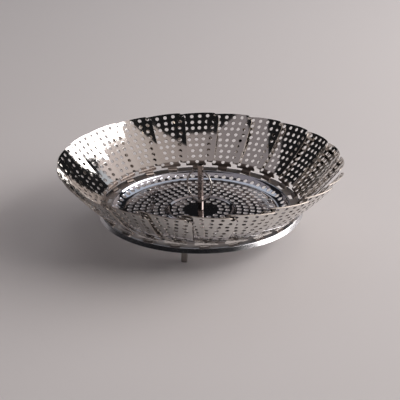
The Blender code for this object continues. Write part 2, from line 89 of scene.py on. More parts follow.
# Petals
PETALS = 22
PETAL_PHASE = radians(-2.1)
PITCH = TURN / PETALS
PETAL_SHEET = 0.0005
HINGE_RADIUS = 0.06615
HINGE_HEIGHT = 0.0198
HINGE_TILT = radians(-5.7)
HOOK_RADIUS = 0.0013
HOOK_END = radians(230)
HOOK_WIDTH = 0.0068
HOOK_CORNER = 0.0006
TAB_CORNER = 0.0004
NECK = (0.0011, 0.0020)     # outwards and up from the hinge
TAB_SIDES = (0.0065, 0.0082)  # its clockwise and its other half width
ROOT_RADIUS = 0.06715
ROOT_HEIGHT = 0.0076
BLADE_REACH = 0.02865
BLADE_RISE = 0.0299
BLADE_LENGTH = hypot(BLADE_REACH, BLADE_RISE)
BLADE_BELLY = 0.0012
BLADE_CURL = 0.00125        # how far the sides turn in at the rim
BLADE_FOOT_WIDTH = 0.0250
BLADE_FOOT_START = 0.0018
BLADE_TOP_WIDTH = 0.0370
BLADE_TOP_CROWN = 0.0012
BLADE_CORNER = 0.0050
BLADE_FOOT_CORNER = 0.0008
CROWN_SHARES = (0.6, 0.3, 0, -0.3, -0.6)    # of the half width, along the curved top edge
LAP_AT_ROOT = 0.0014
LAP_AT_RIM = 0.0027
ROOT_BEND = 0.0006
PETAL_EDGE_STEP = 0.0018
PETAL_MESH_PITCH = 0.0022
TAB_MESH_PITCH = 0.0007
TAB_MESH_TOP = 0.0020
PETAL_PLAY = radians(0.3)   # how far the petals lean apart from each other
PETAL_PLAY_STEP = 2.4
PETAL_HOLE_RADIUS = 0.00138
PETAL_FIRST_ROW = 0.0028    # below the top edge
PETAL_ROW_PITCH = 0.00465
# How many holes and how far apart, from the rim down
PETAL_ROWS = [(6, 0.0061), (6, 0.0055), (6, 0.0049), (5, 0.0062), (5, 0.0053), (5, 0.0046),
              (4, 0.0059), (4, 0.0052), (3, 0.0068)]

# Punched and cut edges
PETAL_HOLE_DRAW = 0.00001   # how far a hole's edge is drawn down
FLOOR_HOLE_DRAW = 0.00030
SHOULDER_HOLE_DRAW = 0.00016
HOLE_SIDES = 14
HOLE_BORDER = 0.0005
HOLE_CLEARED = 0.95         # share of a hole's radius that holds no triangle's middle
HOLE_DRAW_LIMIT = 1.2       # in borders
EDGE_ROUNDING = 0.9         # share of the face's direction in a cut edge's shading
PETAL_EDGE_ROUNDING = 0.4
EDGE_SAMPLE = 0.00004       # over which the sheet's slope is measured
CORNER_COSINE = 0.8         # a sharper corner of a cut edge stays sharp
MERGE_DISTANCE = 1e-7
TURNED_SHARP = radians(35)
FINE_CORNER = 0.0001
TURNED_CORNER = 0.0002

# Post, ring and fastening
POST_RADIUS = 0.0020
POST_TOP = 0.0490
POST_TAIL_RADIUS = 0.0014
POST_TAIL_END = 0.0108
POST_END_CORNER = 0.0003
POST_SIDES = 64
RING_HOLE_HEIGHT = 0.0450
RING_HOLE_RADIUS = 0.00095
RING_HOLE_SIDES = 24
RING_AZIMUTH = radians(130)
RING_RADIUS = 0.01065
RING_WIRE_RADIUS = 0.00055
RING_JOINT = radians(205)   # where the wire's ends meet, from the top
RING_JOINT_HALF = radians(0.6)
WIRE_STEPS = 120
WIRE_SIDES = 14
WIRE_END = 0.6              # share of the wire's radius left at its cut ends
WIRE_SHARP = radians(50)
WASHER_RADIUS = 0.0045
WASHER_SIDES = 64
NUT_ACROSS_FLATS = 0.0055
NUT_SIDES = 62              # not a multiple of six, so no edge meets a corner of the hexagon
NUT_CHAMFER_REACH = 1.5     # how far its cone runs on past those corners

# Legs
SEAT_GAP = 0.0003
PIN_CLEARANCE = 0.0002
LEG_PHASE = radians(73)
LEG_PIVOT = (0.0458, 0.0119)
LEG_WIDTH = 0.0038
LEG_SHEET = 0.0006
LEG_SPLAY = radians(10)
LEG_WEB_OFFSET = 0.0018
LEG_WEB_TOP = 0.0023
LEG_FLANGE_TOP = (0.0015, 0.0015)   # inwards and up from the pivot
LEG_FLANGE_FOOT = (0.0019, 0.0014)  # inwards from the web, up from the ground
FOOT_LENGTH = 0.0030
LEG_CORNERS = (0.0010, 0.0003, 0.0008, 0.0012, 0.0004)  # radii, from the foot's tip to the top
BRACKET_SHEET = 0.0006
BRACKET_TOP = 0.0032                # above the pivot
BRACKET_HALF_WIDTH = 0.0028
BRACKET_EAR = (0.0020, 0.0015)      # either side of the pivot, below it
BRACKET_OUTER = 0.0072              # outwards from the pivot
BRACKET_CORNERS = (0.0015, 0.0003, 0.0012)  # radii of the ear, the fold and the plate
PIN_RADIUS = 0.0006
PIN_HEAD = (0.0010, 0.0004)         # radius and height
PIN_SIDES = 32
RIVET_OFFSET = 0.0052               # outwards from the pivot
RIVET_RADIUS = 0.0009
RIVET_HEAD = (0.0018, 0.0007)
RIVET_HOLE_SIDES = 20
FOLD_REACH = 0.0005                 # half the width of a folded strip's bend
STRIP_EDGE_STEP = 0.0008
LEG_MESH_PITCH = 0.0005
BRACKET_MESH_PITCH = 0.0006

# Finishes
CLOUD_SCALE = 60.0          # handling marks, per metre
CLOUD_DETAIL = 4.0
CLOUD_SPAN = (0.3, 0.7)     # the part of the noise that shows
CLOUD_GLOSS = (0.75, 1.35)  # least and most roughness, as shares
CLOUD_TONE = 0.93
WAVE_SCALE = 140.0
WAVE_DETAIL = 1.0
WAVE_HEIGHT = 0.00005
GRAIN_SCALE = 2500.0
GRAIN_DETAIL = 2.0
GRAIN_STRENGTH = 0.08
GRAIN_HEIGHT = 0.00001
# Painted shade: below this height the petals' tabs are painted brown and left rough
TAB_TOP = 0.0056            # above the hinge
TAB_FADE = 0.0004
TAB_SHADE_COLOUR = (0.20, 0.165, 0.15)
TAB_ROUGHNESS = 0.40
STEELS = {                  # colour, roughness and how uneven the surface is
    "petal_inside": ((0.74, 0.715, 0.69), 0.06, 0.2),
    "petal_outside": ((0.74, 0.715, 0.69), 0.06, 0.2),
    "tray_polish_and_painted_light": ((0.74, 0.725, 0.73), 1.0, 0.06),
    # painted shade: the post's polished steel is darkened and browned
    "post_shaded_polish": ((0.42, 0.36, 0.335), 0.11, 0.03),
    # painted shade: the ring's wire is darkened
    "wire_shaded_polish": ((0.46, 0.43, 0.41), 0.20, 0.2),
    # painted shade: the legs and brackets under the tray are darkened
    "leg_shaded_polish": ((0.26, 0.235, 0.22), 0.25, 0.2),
    "fastener_polish": ((0.64, 0.63, 0.62), 0.22, 0.2),
    # painted shade: the walls of punched holes and cut edges are darkened and dulled
    "shaded_cut_edge": ((0.26, 0.23, 0.21), 0.40, 0.2),
    # painted shade and a painted warm rim highlight: the outline's cut edge is dimmed and warmed
    "painted_rim_edge": ((0.52, 0.45, 0.40), 0.35, 0.2),
}
# The tray's radius, painted tone and roughness, from its floor to its skirt
RING_PAINTED_TONES = [
    # painted shade on the floor
    (0.0528, (0.72, 0.69, 0.71), 0.05),
    # a painted cool reflection on the shoulder
    (0.0536, (0.90, 0.94, 1.04), 0.05),
    (0.0606, (0.90, 0.94, 1.04), 0.05),
    # painted brown shade on the brim
    (0.0614, (0.50, 0.44, 0.41), 0.38),
    (0.0668, (0.50, 0.44, 0.41), 0.38),
    # painted shade, slightly cool, that dims the skirt's highlight
    (0.0680, (0.86, 0.86, 0.89), 0.21),
]

# Studio: places of the panels are multiples of their height above the object
PANEL_HEIGHT = 1.25
OVERHEAD_LOW = (-1.088, -0.38)      # left and near edges
OVERHEAD_HIGH = (1.136, 1.40)       # right and far edges
OVERHEAD_GAP_LOW = (-0.35, 0.20)    # a dark gap, which the tray's floor sees in the petals
OVERHEAD_GAP_HIGH = (0.45, 0.60)
OVERHEAD_COOL_LOW = -0.90           # where the cool part starts, from the left
OVERHEAD_SPLIT = 0.78               # nearer than this it is warm, farther it is cool
OVERHEAD_WARM = [                   # tones of the warm part, from left to right
    (-1.088, (0.25, 0.225, 0.235)),
    (-0.45, (0.27, 0.24, 0.245)),
    (0.45, (0.42, 0.36, 0.335)),
    (1.136, (0.54, 0.45, 0.43)),
]
OVERHEAD_COOL = (0.62, (0.88, 0.93, 1.0))
KEY_AZIMUTH = radians(25)           # along the wall of light
KEY_DISTANCE = 0.82
KEY_TOP = (-0.45, 1.90)             # the ends of its upper edge, then of its lower edge
KEY_BOTTOM = (0.08, 1.30)
KEY_FOOT = 0.14
KEY_LIGHT = (5.0, (1.0, 0.975, 0.95))
FILL_CORNER = (-2.0, -1.5, 2.2)     # metres
FILL_SIZE = (2.4, 3.0)
FILL_LIGHT = (0.62, (0.95, 0.97, 1.0))
HORIZON = [(0.0, (0.42, 0.40, 0.40)), (0.03, (0.42, 0.40, 0.40)), (0.08, (0.012, 0.012, 0.013))]
GROUND_HALF = 4.0
GROUND_COLOUR = (0.70, 0.66, 0.66)
GROUND_ROUGHNESS = 0.6


# Flat blanks

def circle(centre, radius, sides, phase=0.0):
    angles = phase + np.arange(sides) * TURN / sides
    return np.column_stack((centre[0] + radius * np.cos(angles), centre[1] + radius * np.sin(angles)))


def rounded_loop(corners, steps=5):
    """A closed loop through corners (x, y, radius), each rounded to its radius."""
    loop = []
    for index, (x, y, radius) in enumerate(corners):
        corner = Vector((x, y))
        before = (Vector(corners[index - 1][:2]) - corner).normalized()
        after = (Vector(corners[(index + 1) % len(corners)][:2]) - corner).normalized()
        if radius == 0:
            loop.append(corner)
            continue
        half = before.angle(after) / 2
        centre = corner + (before + after).normalized() * radius / sin(half)
        start = corner + before * radius / tan(half) - centre
        end = corner + after * radius / tan(half) - centre
        for step in range(steps + 1):
            share = step / steps
            loop.append(centre + (start * (1 - share) + end * share).normalized() * radius)
    return np.array(loop)


def split_loop(loop, longest):
    """The same loop with its long edges divided."""
    points = []
    for start, end in zip(loop, np.roll(loop, -1, axis=0)):
        parts = max(1, int(np.ceil(np.linalg.norm(end - start) / longest)))
        points += [start + (end - start) * part / parts for part in range(parts)]
    return np.array(points)


def inside(points, loop):
    """Which points lie inside a closed loop."""
    result = np.zeros(len(points), bool)
    for (x0, y0), (x1, y1) in zip(loop, np.roll(loop, -1, axis=0)):
        if y0 == y1:
            continue
        crosses = (y0 > points[:, 1]) != (y1 > points[:, 1])
        at = x0 + (points[:, 1] - y0) * (x1 - x0) / (y1 - y0)
        result ^= crosses & (points[:, 0] < at)
    return result


def nearest(points, centres):
    """Distance from each point to the nearest centre."""
    best = np.full(len(points), np.inf)
    for x, y in centres:
        best = np.minimum(best, np.hypot(points[:, 0] - x, points[:, 1] - y))
    return best


def cut_blank(outline, centres, hole_radius, cutouts=(), rings=(), guides=()):
    """Corner points, triangles and outline of a flat blank with round holes and other cut-outs."""
    loops = [outline, *cutouts, *rings]
    for centre in centres:
        loops.append(circle(centre, hole_radius, HOLE_SIDES))
        loops.append(circle(centre, hole_radius + HOLE_BORDER, HOLE_SIDES, pi / HOLE_SIDES))
    points = []
    edges = []
    for loop in loops:
        first = len(points)
        points += list(loop)
        edges += [(first + i, first + (i + 1) % len(loop)) for i in range(len(loop))]
    if len(guides):
        clear = guides[nearest(guides, centres) > hole_radius + 2 * HOLE_BORDER]
        clear = clear[nearest(clear, outline) > HOLE_BORDER]
        points += list(clear[inside(clear, outline)])
    result = delaunay_2d_cdt([Vector(p) for p in points], edges, [], 0, MERGE_DISTANCE)
    flat = np.array([tuple(p) for p in result[0]])
    faces = np.array(result[2])
    middles = flat[faces].mean(axis=1)
    keep = inside(middles, outline) & (nearest(middles, centres) > hole_radius * HOLE_CLEARED)
    for loop in cutouts:
        keep &= ~inside(middles, loop)
    faces = faces[keep]
    used, faces = np.unique(faces, return_inverse=True)
    return flat[used], faces.reshape(-1, 3), outline


def border_edges(faces):
    """Edges that only one triangle uses, in that triangle's order."""
    edges = np.concatenate([faces[:, [0, 1]], faces[:, [1, 2]], faces[:, [2, 0]]])
    keys = edges.min(axis=1) * (edges.max() + 1) + edges.max(axis=1)
    _, where, counts = np.unique(keys, return_index=True, return_counts=True)
    return edges[where[counts == 1]]


def unit(vectors):
    return vectors / np.maximum(np.linalg.norm(vectors, axis=1, keepdims=True), 1e-12)


def press_sheet(name, blank, shape, above, below, rounding=EDGE_ROUNDING):
    """A closed sheet: the blank pressed to a shape, with rounded shading on its cut edges.

    The mesh's first material is for the face above, its second for punched and cut edges,
    its third for the face below and its fourth for the outline's edge."""
    flat, faces, outline = blank
    u, v = flat[:, 0], flat[:, 1]
    step = EDGE_SAMPLE
    along_u = shape(u + step, v) - shape(u - step, v)
    along_v = shape(u, v + step) - shape(u, v - step)
    normals = unit(np.cross(along_u, along_v))
    middle = shape(u, v)
    count = len(flat)
    corners = np.concatenate([middle + normals * above, middle - normals * below])
    edges = border_edges(faces)
    a, b = edges[:, 0], edges[:, 1]
    outwards = unit(np.cross(corners[b] - corners[a], normals[a] + normals[b]))
    edge_out = np.zeros((count, 3))
    np.add.at(edge_out, a, outwards)
    np.add.at(edge_out, b, outwards)
    edge_out = unit(edge_out)
    walls = np.column_stack([b, a, a + count, b + count])
    top_loops = normals[faces.ravel()]
    bottom_loops = -normals[faces[:, ::-1].ravel()]
    shading = []
    for ends, side in ((b, 1), (a, 1), (a, -1), (b, -1)):
        agreement = (edge_out[ends] * outwards).sum(axis=1, keepdims=True)
        out = np.where(agreement > CORNER_COSINE, edge_out[ends], outwards)
        shading.append(unit(out + side * rounding * normals[ends]))
    wall_loops = np.stack(shading, axis=1).reshape(-1, 3)
    mesh = bpy.data.meshes.new(name)
    polygons = faces.tolist() + (faces[:, ::-1] + count).tolist() + walls.tolist()
    mesh.from_pydata(corners.tolist(), [], polygons)
    mesh.shade_smooth()
    sides = np.repeat([0, 2, 1], [len(faces), len(faces), len(walls)])
    sides[2 * len(faces):] += 2 * (nearest(flat[a], outline) < HOLE_BORDER / 4)
    mesh.polygons.foreach_set("material_index", sides)
    mesh.normals_split_custom_set(np.concatenate([top_loops, bottom_loops, wall_loops]).tolist())
    return mesh


def grid_points(low, high, pitch):
    """Staggered guide points over a box."""
    rows = np.arange(low[1], high[1], pitch * sqrt(3) / 2)
    points = []
    for index, y in enumerate(rows):
        xs = np.arange(low[0] + (index % 2) * pitch / 2, high[0], pitch)
        points.append(np.column_stack((xs, np.full(len(xs), y))))
    return np.concatenate(points)


def dimple(u, v, centres, hole_radius, draw):
    """How far the sheet is drawn down round its punched holes."""
    distance = nearest(np.column_stack((u, v)), centres) - hole_radius
    return draw * np.clip(1 - distance / HOLE_BORDER, 0, HOLE_DRAW_LIMIT) ** 2


# Scene helpers

def new_object(name, data):
    obj = bpy.data.objects.new(name, data)
    bpy.context.scene.collection.objects.link(obj)
    return obj


def add_piece(name, mesh, materials, body, replaced, matrix=None):
    """A piece that rides on a body in place of a CAD node."""
    obj = new_object(name, mesh)
    if matrix is not None:
        obj.matrix_world = matrix
    if not mesh.materials:
        for material in materials:
            mesh.materials.append(material)
    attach(obj, body)
    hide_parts(replaced)


def turned_about_z(azimuth):
    return Matrix.Rotation(-azimuth, 4, "Z")


# Petals

def tab_frame():
    """Length from the root to the neck and to the hook, and the angle where the hook starts."""
    root = (ROOT_RADIUS - HINGE_RADIUS, ROOT_HEIGHT + STAND_HEIGHT - HINGE_HEIGHT)
    neck = hypot(root[0] - NECK[0], root[1] - NECK[1])
    reach = hypot(*NECK)
    straight = sqrt(reach ** 2 - HOOK_RADIUS ** 2)
    return neck, neck + straight, atan2(NECK[1], NECK[0]) + atan2(straight, HOOK_RADIUS)


def blade_shape(u, v):
    """The blade's middle surface, measured from the hinge."""
    out, up = BLADE_REACH / BLADE_LENGTH, BLADE_RISE / BLADE_LENGTH
    share = v / BLADE_LENGTH
    radius = ROOT_RADIUS + out * v
    angle = u / radius
    lap = LAP_AT_ROOT + (LAP_AT_RIM - LAP_AT_ROOT) * share
    offset = lap * angle / PITCH - BLADE_BELLY * 4 * share * (1 - share)
    offset = offset + BLADE_CURL * share * (2 * u / BLADE_TOP_WIDTH) ** 2
    radius = radius - up * offset
    height = ROOT_HEIGHT + up * v + out * offset + STAND_HEIGHT - HINGE_HEIGHT
    return np.column_stack((radius * np.sin(angle), radius * np.cos(angle) - HINGE_RADIUS, height))


def raw_petal_shape(u, v):
    """The middle surface of hook, neck, tab and blade, with sharp folds between them."""
    neck, hook, start = tab_frame()
    flat = np.ones(len(u))
    slope = u * tan(HINGE_TILT)
    arc = start + (-v - hook) / HOOK_RADIUS
    curl = np.column_stack((u, HOOK_RADIUS * np.cos(arc), HOOK_RADIUS * np.sin(arc) + slope))
    top = np.column_stack((u, HOOK_RADIUS * cos(start) * flat, HOOK_RADIUS * sin(start) + slope))
    bend = np.column_stack((u, NECK[0] * flat, NECK[1] * flat))
    foot = blade_shape(u, np.zeros(len(u)))
    lower = top + (bend - top) * ((v + hook) / (hook - neck))[:, None]
    upper = bend + (foot - bend) * ((v + neck) / neck)[:, None]
    shape = np.where((v < 0)[:, None], upper, blade_shape(u, np.maximum(v, 0)))
    shape = np.where((v < -neck)[:, None], lower, shape)
    return np.where((v < -hook)[:, None], curl, shape)


def petal_holes():
    centres = []
    for row, (count, pitch) in enumerate(PETAL_ROWS):
        v = BLADE_LENGTH - PETAL_FIRST_ROW - PETAL_ROW_PITCH * row
        for column in range(count):
            centres.append(((column - (count - 1) / 2) * pitch, v))
    return centres


def petal_mesh():
    centres = petal_holes()
    neck, hook, start = tab_frame()
    hook_end = -hook - HOOK_RADIUS * (HOOK_END - start)
    half_top = BLADE_TOP_WIDTH / 2
    side = [(HOOK_WIDTH / 2, hook_end, HOOK_CORNER), (HOOK_WIDTH / 2, -neck, TAB_CORNER),
            (TAB_SIDES[0], -neck, TAB_CORNER), (TAB_SIDES[0], BLADE_FOOT_START / 2, TAB_CORNER),
            (BLADE_FOOT_WIDTH / 2, BLADE_FOOT_START, BLADE_FOOT_CORNER),
            (half_top, BLADE_LENGTH - BLADE_TOP_CROWN, BLADE_CORNER)]
    crown = [(half_top * share, BLADE_LENGTH - BLADE_TOP_CROWN * share ** 2, 0)
             for share in CROWN_SHARES]
    mirrored = [(-TAB_SIDES[1] if x == TAB_SIDES[0] else -x, y, radius) for x, y, radius in reversed(side)]
    outline = split_loop(rounded_loop(side + crown + mirrored), PETAL_EDGE_STEP)
    guides = grid_points((-half_top, 0), (half_top, BLADE_LENGTH), PETAL_MESH_PITCH)
    tab_guides = grid_points((-TAB_SIDES[1], hook_end), (TAB_SIDES[0], TAB_MESH_TOP), TAB_MESH_PITCH)
    blank = cut_blank(outline, centres, PETAL_HOLE_RADIUS, guides=np.concatenate([guides, tab_guides]))

    def shape(u, v):
        spread = ROOT_BEND * np.clip((v + hook) / (hook - neck), 0, 1)
        total = sum(raw_petal_shape(u, v + spread * shift) for shift in (-1, -0.5, 0, 0.5, 1)) / 5
        drawn = dimple(u, v, centres, PETAL_HOLE_RADIUS, PETAL_HOLE_DRAW)
        return total + drawn[:, None] * np.array([[0, BLADE_RISE, -BLADE_REACH]]) / BLADE_LENGTH

    return press_sheet("petal_sheet", blank, shape, PETAL_SHEET / 2, PETAL_SHEET / 2, PETAL_EDGE_ROUNDING)


def build_petals(materials):
    mesh = petal_mesh()
    for index in range(PETALS):
        node = f"petal_{index + 1:02d}"
        spin = turned_about_z(PETAL_PHASE + index * PITCH)
        lean = Matrix.Rotation(PETAL_PLAY * sin(index * PETAL_PLAY_STEP), 4, "X")
        matrix = spin @ Matrix.Translation((0, HINGE_RADIUS, HINGE_HEIGHT)) @ lean
        add_piece(f"petal_sheet_{index + 1:02d}", mesh, materials, node, node, matrix)


# Tray

def tray_profile():
    """Radius and height of the tray's top face by distance along it, with rounded folds."""
    knots = [(BORE_RADIUS, 0), (BEAD_RADIUS - BEAD_HALF_WIDTH, 0), (BEAD_RADIUS, BEAD_HEIGHT),
             (BEAD_RADIUS + BEAD_HALF_WIDTH, 0)]
    for share in np.linspace(0, 1, SHOULDER_POINTS):
        sag = SHOULDER_DISH * 4 * share * (1 - share)
        knots.append((FLOOR_RADIUS + (CREST[0] - FLOOR_RADIUS) * share + SHOULDER_SAG[0] * sag,
                      CREST[1] * share + SHOULDER_SAG[1] * sag))
    knots += [(SLOT_INNER_RADIUS, BRIM_HEIGHT - BRIM_DIP), (SLOT_OUTER_RADIUS, BRIM_HEIGHT),
              (BRIM_CORNER_RADIUS, BRIM_HEIGHT), SKIRT_FOOT]
    knots = np.array(knots)
    lengths = np.concatenate([[0], np.cumsum(np.hypot(*np.diff(knots, axis=0).T))])
    stations = np.arange(0, lengths[-1], PROFILE_STEP)
    table = [np.interp(stations, lengths, knots[:, axis]) for axis in (0, 1)]
    reach = int(TRAY_BEND / PROFILE_STEP)
    window = np.hanning(2 * reach + 3)[1:-1]
    window /= window.sum()
    smooth = []
    for values in table:
        start = values[0] - (values[1:reach + 1] - values[0])[::-1]
        end = values[-1] - (values[-reach - 1:-1] - values[-1])[::-1]
        smooth.append(np.convolve(np.concatenate([start, values, end]), window, "valid"))
    return stations + BORE_RADIUS, smooth[0], smooth[1]


def ring_of(radius, sides):
    return circle((0, 0), radius, sides)


def tray_mesh():
    reach, radii, heights = tray_profile()

    def blank_radius(radius):
        """Distance from the blank's middle of what ends up at a radius."""
        return float(np.interp(radius, radii, reach))

    centres = []
    for number, (radius, count) in enumerate(FLOOR_HOLES):
        for index in range(count):
            azimuth = (index + 0.5 * (number % 2)) * TURN / count
            centres.append((radius * sin(azimuth), radius * cos(azimuth)))
    radius, count = blank_radius(SHOULDER_HOLES[0]), SHOULDER_HOLES[1]
    shoulder = [(radius * sin(i * TURN / count), radius * cos(i * TURN / count)) for i in range(count)]
    centres = clear_of_rivets(centres)
    slots = []
    inner, outer = blank_radius(SLOT_INNER_RADIUS), blank_radius(SLOT_OUTER_RADIUS)
    half = SLOT_WIDTH / 2
    for index in range(PETALS):
        azimuth = PETAL_PHASE + index * PITCH
        loop = rounded_loop([(x, y, SLOT_CORNER) for x, y in
                             ((-half, inner), (half, inner), (half, outer), (-half, outer))], 3)
        spin = np.array([[cos(azimuth), -sin(azimuth)], [sin(azimuth), cos(azimuth)]])
        slots.append(split_loop(loop, SLOT_EDGE_STEP) @ spin)
    bead = [BEAD_RADIUS + BEAD_HALF_WIDTH * side for side in BEAD_RINGS]
    folds = [FLOOR_RADIUS + shift for shift in FLOOR_EDGE_RINGS]
    folds += [CREST[0] + shift for shift in CREST_RINGS]
    folds += [BRIM_CORNER_RADIUS + shift for shift in BRIM_RINGS]
    rings = [ring_of(blank_radius(r), RING_SIDES // 2) for r in bead]
    rings += [ring_of(blank_radius(r), RING_SIDES) for r in folds]
    skirt_top = blank_radius(BRIM_CORNER_RADIUS + BRIM_RINGS[-1])
    edge = reach[-1]
    rings += [ring_of(skirt_top + (edge - skirt_top) * share, RING_SIDES) for share in SKIRT_RINGS]
    rings += [ring_of(r, sides) for r, sides in PLAIN_RINGS]
    guides = np.concatenate([ring_of(blank_radius(r), sides) for r, sides in GUIDE_RINGS])
    outline = ring_of(edge, RING_SIDES)
    bore = ring_of(BORE_RADIUS, BORE_SIDES)
    blank = cut_blank(outline, centres + shoulder, TRAY_HOLE_RADIUS, [bore, *slots], rings, guides)

    def shape(u, v):
        distance = np.hypot(u, v)
        radius = np.interp(distance, reach, radii)
        height = np.interp(distance, reach, heights)
        height = height - dimple(u, v, centres, TRAY_HOLE_RADIUS, FLOOR_HOLE_DRAW)
        height = height - dimple(u, v, shoulder, TRAY_HOLE_RADIUS, SHOULDER_HOLE_DRAW)
        return np.column_stack((u / distance * radius, v / distance * radius, height + STAND_HEIGHT))

    return press_sheet("tray_sheet", blank, shape, 0, TRAY_SHEET)


def rivet_places():
    places = []
    for index in range(3):
        low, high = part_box(f"leg_rivet_{index + 1}")
        places.append((low + high) / 2)
    return places


def clear_of_rivets(centres):
    """The holes that a rivet's head doesn't cover."""
    rivets = rivet_places()
    kept = []
    for x, y in centres:
        if min(hypot(x - rivet.x, y - rivet.y) for rivet in rivets) > RIVET_CLEARANCE:
            kept.append((x, y))
    return kept


# Post, ring and fastening

def turned(name, loop, sides):
    """A piece turned about +Z from its half section (radius, height), which runs anticlockwise."""
    points = []
    rows = []
    for x, z in loop:
        if x < MERGE_DISTANCE:
            rows.append([len(points)] * sides)
            points.append((0, 0, z))
            continue
        rows.append([len(points) + side for side in range(sides)])
        points += [(x * cos(side * TURN / sides), x * sin(side * TURN / sides), z) for side in range(sides)]
    faces = []
    for row, after in zip(rows, rows[1:] + rows[:1]):
        for side in range(sides):
            turn = (side + 1) % sides
            corners = list(dict.fromkeys((row[side], row[turn], after[turn], after[side])))
            if len(corners) > 2:
                faces.append(corners)
    mesh = bpy.data.meshes.new(name)
    mesh.from_pydata(points, [], faces)
    mesh.shade_smooth()
    mesh.set_sharp_from_angle(angle=TURNED_SHARP)
    return mesh


def combined(mesh, other, operation, matrix=None):
    """The first mesh cut by, or crossed with, the other."""
    objects = [new_object("combined", part) for part in (mesh, other)]
    if matrix is not None:
        objects[1].matrix_world = matrix
    cut = objects[0].modifiers.new("cut", "BOOLEAN")
    cut.operation = operation
    cut.solver = "EXACT"
    cut.object = objects[1]
    bpy.context.view_layer.update()
    view = bpy.context.evaluated_depsgraph_get()
    result = bpy.data.meshes.new_from_object(objects[0].evaluated_get(view))
    for obj in objects:
        bpy.data.objects.remove(obj)
    result.shade_smooth()
    result.set_sharp_from_angle(angle=TURNED_SHARP)
    return result


def rod_section(radius, low, high):
    return rounded_loop([(0, low, 0), (radius, low, FINE_CORNER), (radius, high, FINE_CORNER),
                         (0, high, 0)], 3)


def post_mesh():
    seat = STAND_HEIGHT + SEAT_GAP
    section = rounded_loop([(0, POST_TAIL_END, 0), (POST_TAIL_RADIUS, POST_TAIL_END, POST_END_CORNER),
                            (POST_TAIL_RADIUS, seat, FINE_CORNER), (POST_RADIUS, seat, FINE_CORNER),
                            (POST_RADIUS, POST_TOP, POST_END_CORNER), (0, POST_TOP, 0)], 4)
    reach = 2 * POST_RADIUS
    drill = turned("drill", rod_section(RING_HOLE_RADIUS, -reach, reach), RING_HOLE_SIDES)
    across = (Matrix.Translation((0, 0, RING_HOLE_HEIGHT)) @ turned_about_z(RING_AZIMUTH)
              @ Matrix.Rotation(pi / 2, 4, "X"))
    return combined(turned("post_rod", section, POST_SIDES), drill, "DIFFERENCE", across)


def finger_ring_mesh():
    """Round wire bent to a ring, its two cut ends nearly touching."""
    sides = WIRE_SIDES
    turns = np.linspace(RING_JOINT + RING_JOINT_HALF, RING_JOINT - RING_JOINT_HALF + TURN, WIRE_STEPS)
    turns = np.concatenate([turns[:1], turns, turns[-1:]])
    wire = np.full(len(turns), RING_WIRE_RADIUS)
    wire[[0, -1]] *= WIRE_END
    points = []
    for turn, radius in zip(turns, wire):
        for side in np.arange(sides) * TURN / sides:
            reach = RING_RADIUS + radius * cos(side)
            points.append((radius * sin(side), reach * sin(turn), reach * cos(turn) - RING_RADIUS))
    faces = []
    for row in range(len(turns) - 1):
        for side in range(sides):
            after = (side + 1) % sides
            faces.append((row * sides + side, row * sides + after, (row + 1) * sides + after,
                          (row + 1) * sides + side))
    last = (len(turns) - 1) * sides
    faces += [tuple(reversed(range(sides))), tuple(range(last, last + sides))]
    mesh = bpy.data.meshes.new("finger_ring_wire")
    mesh.from_pydata(points, [], faces)
    mesh.shade_smooth()
    mesh.set_sharp_from_angle(angle=WIRE_SHARP)
    return mesh


def build_post(rod_material, wire_material, fastener_material):
    add_piece("post_rod", post_mesh(), [rod_material], "base", "post")
    stand_off = POST_RADIUS + RING_WIRE_RADIUS + SEAT_GAP
    lean = atan2(stand_off, sqrt((2 * RING_RADIUS) ** 2 - stand_off ** 2))
    hanging = (Matrix.Translation((0, 0, RING_HOLE_HEIGHT)) @ turned_about_z(RING_AZIMUTH)
               @ Matrix.Rotation(-lean, 4, "Y"))
    add_piece("finger_ring_wire", finger_ring_mesh(), [wire_material], "finger_ring", "finger_ring",
              hanging)
    low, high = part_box("post_washer")
    bore = POST_TAIL_RADIUS + PIN_CLEARANCE
    section = rounded_loop([(bore, low.z, FINE_CORNER), (WASHER_RADIUS, low.z, TURNED_CORNER),
                            (WASHER_RADIUS, high.z, TURNED_CORNER), (bore, high.z, FINE_CORNER)], 3)
    add_piece("washer_disc", turned("washer_disc", section, WASHER_SIDES), [fastener_material],
              "base", "post_washer")
    low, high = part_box("post_nut")
    corner = NUT_ACROSS_FLATS / 2 / cos(pi / 6)
    flat = NUT_ACROSS_FLATS / 2
    rise = (corner - flat) * NUT_CHAMFER_REACH
    section = rounded_loop([(bore, low.z, TURNED_CORNER), (flat, low.z, 0),
                            (flat + rise, low.z + rise, 0), (flat + rise, high.z - rise, 0),
                            (flat, high.z, 0), (bore, high.z, TURNED_CORNER)], 3)
    prism = turned("nut_prism", rod_section(corner, low.z - rise, high.z + rise), 6)
    turn = Matrix.Rotation(pi / 2, 4, "Z")
    add_piece("nut_body", combined(turned("nut_body", section, NUT_SIDES), prism, "INTERSECT", turn),
              [fastener_material], "base", "post_nut")


# Legs

def folded(raw, u, v, shift_v=True):
    """A raw folded shape with its bends rounded."""
    steps = (-1, -0.5, 0, 0.5, 1)
    total = 0
    for i in steps:
        for j in steps:
            total = total + raw(u + FOLD_REACH * i, v + (FOLD_REACH * j if shift_v else 0))
    return total / len(steps) ** 2


